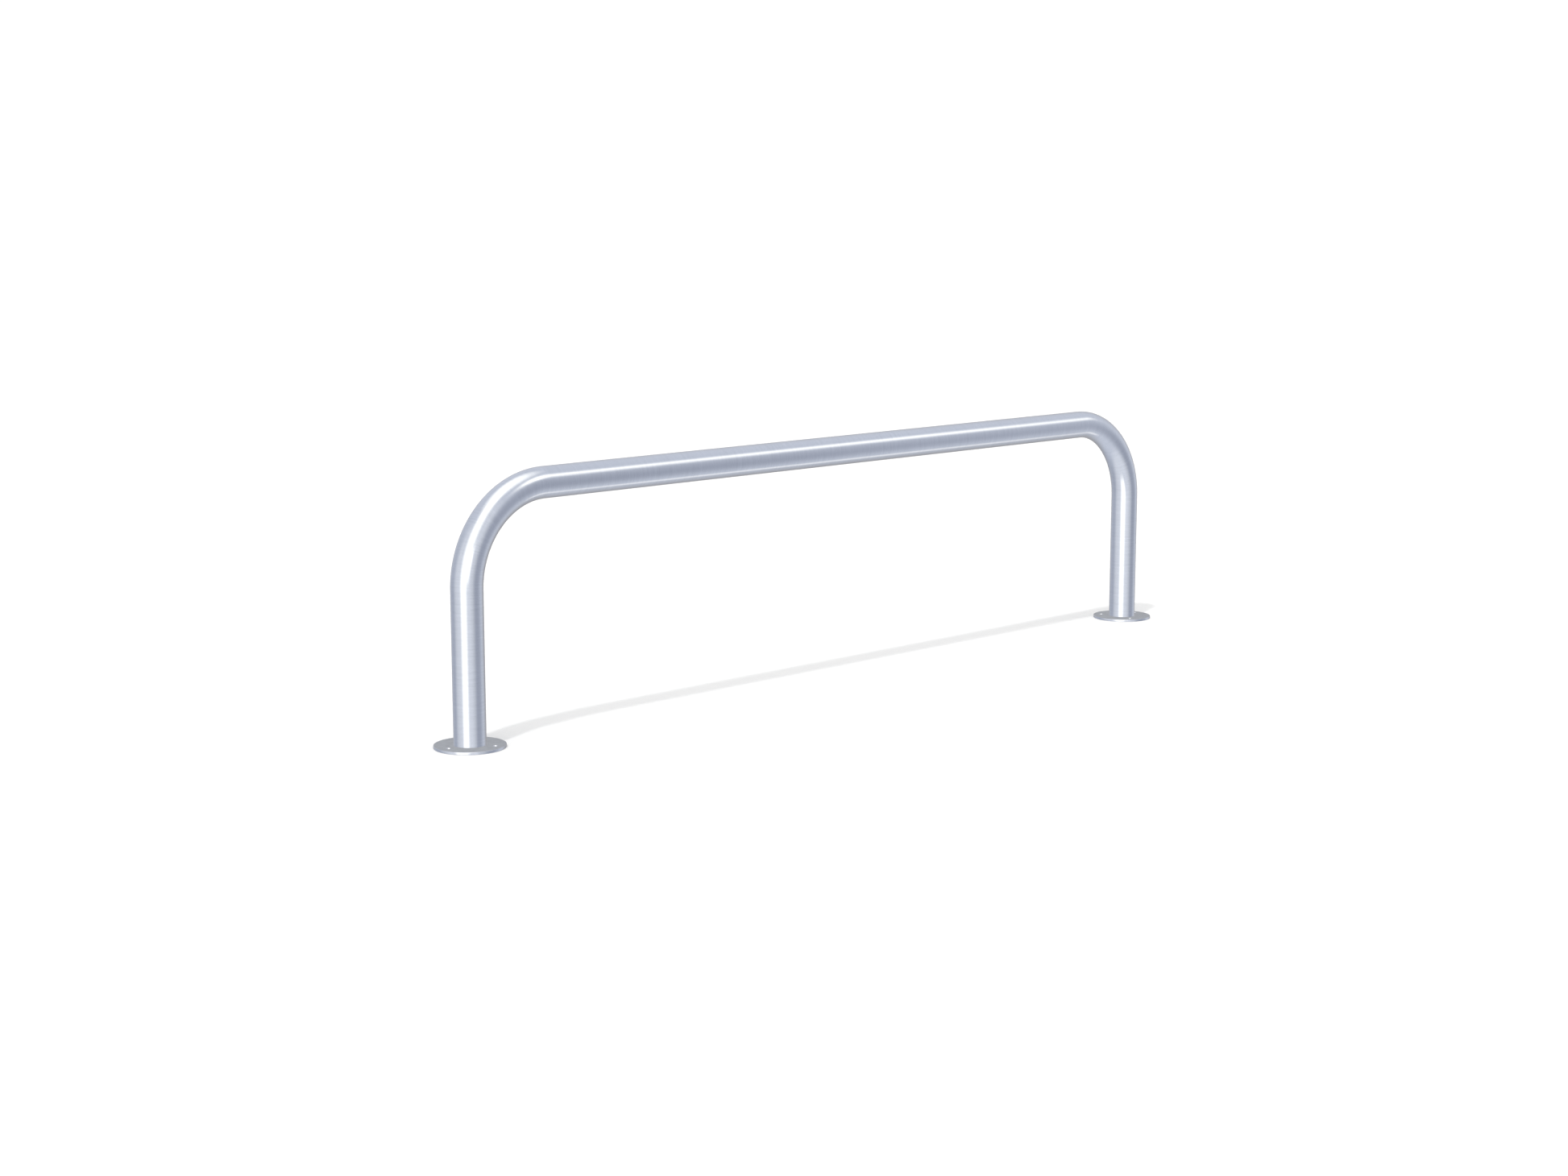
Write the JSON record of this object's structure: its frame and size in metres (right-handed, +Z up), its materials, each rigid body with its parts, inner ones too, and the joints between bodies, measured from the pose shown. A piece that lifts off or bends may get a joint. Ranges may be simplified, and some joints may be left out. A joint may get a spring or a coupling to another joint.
{
  "type": "crowd control barrier",
  "caption": "Low hoop barrier: a bent steel tube on round base plates that bolt to the ground, to keep people and vehicles away from an edge or a front.",
  "frame": {"origin": "on the ground, midway between the two legs", "axes": "+X along the rail, from the left leg to the right leg; +Y across the barrier; +Z up"},
  "size_m": [2.073, 0.133, 0.5],
  "materials": {
    "tube_steel": "satin, brushed round the tube",
    "plate_steel": "matt, pickled sheet with a turned edge",
    "weld_steel": "ground weld metal"
  },
  "bodies": {
    "root": {"hoop_tube": "tube_steel", "left_base_plate": "plate_steel", "right_base_plate": "plate_steel", "left_foot_weld": "weld_steel", "right_foot_weld": "weld_steel"}
  },
  "joints": []
}
